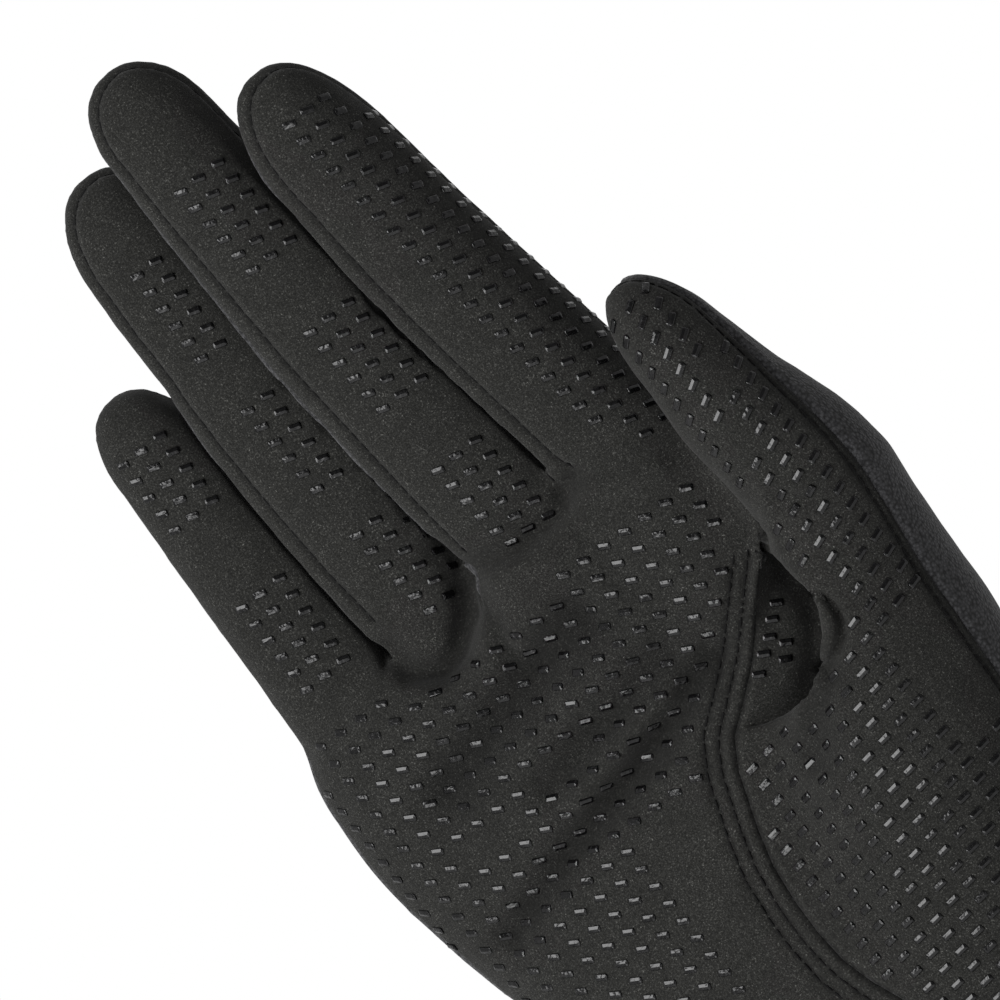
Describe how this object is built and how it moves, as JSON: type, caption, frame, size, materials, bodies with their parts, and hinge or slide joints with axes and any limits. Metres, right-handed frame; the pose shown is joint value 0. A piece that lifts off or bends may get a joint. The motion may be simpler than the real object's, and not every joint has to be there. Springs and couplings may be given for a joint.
{
  "type": "golf glove",
  "caption": "Right-hand golf glove in worn form: suede palm and finger fronts with raised grip dashes, thumb panel, stretch back and bound wrist opening.",
  "frame": {"origin": "centre of the wrist opening, in the plane of the hem's lower edge", "axes": "+Z from the hem to the fingertips, -Y the palm side, +Y the back of the hand, +X the thumb side"},
  "size_m": [0.1005, 0.0503, 0.2257],
  "materials": {
    "suede": "brushed matt",
    "knit": "pebbled stretch knit",
    "binding": "woven tape"
  },
  "bodies": {
    "root": {"palm_panel": "suede", "thumb_ball": "suede", "index_front": "suede", "middle_front": "suede", "ring_front": "suede", "little_front": "suede", "thumb_front": "suede", "back_panel": "knit", "index_back": "knit", "middle_back": "knit", "ring_back": "knit", "little_back": "knit", "thumb_back": "knit", "hem": "binding"}
  },
  "joints": []
}
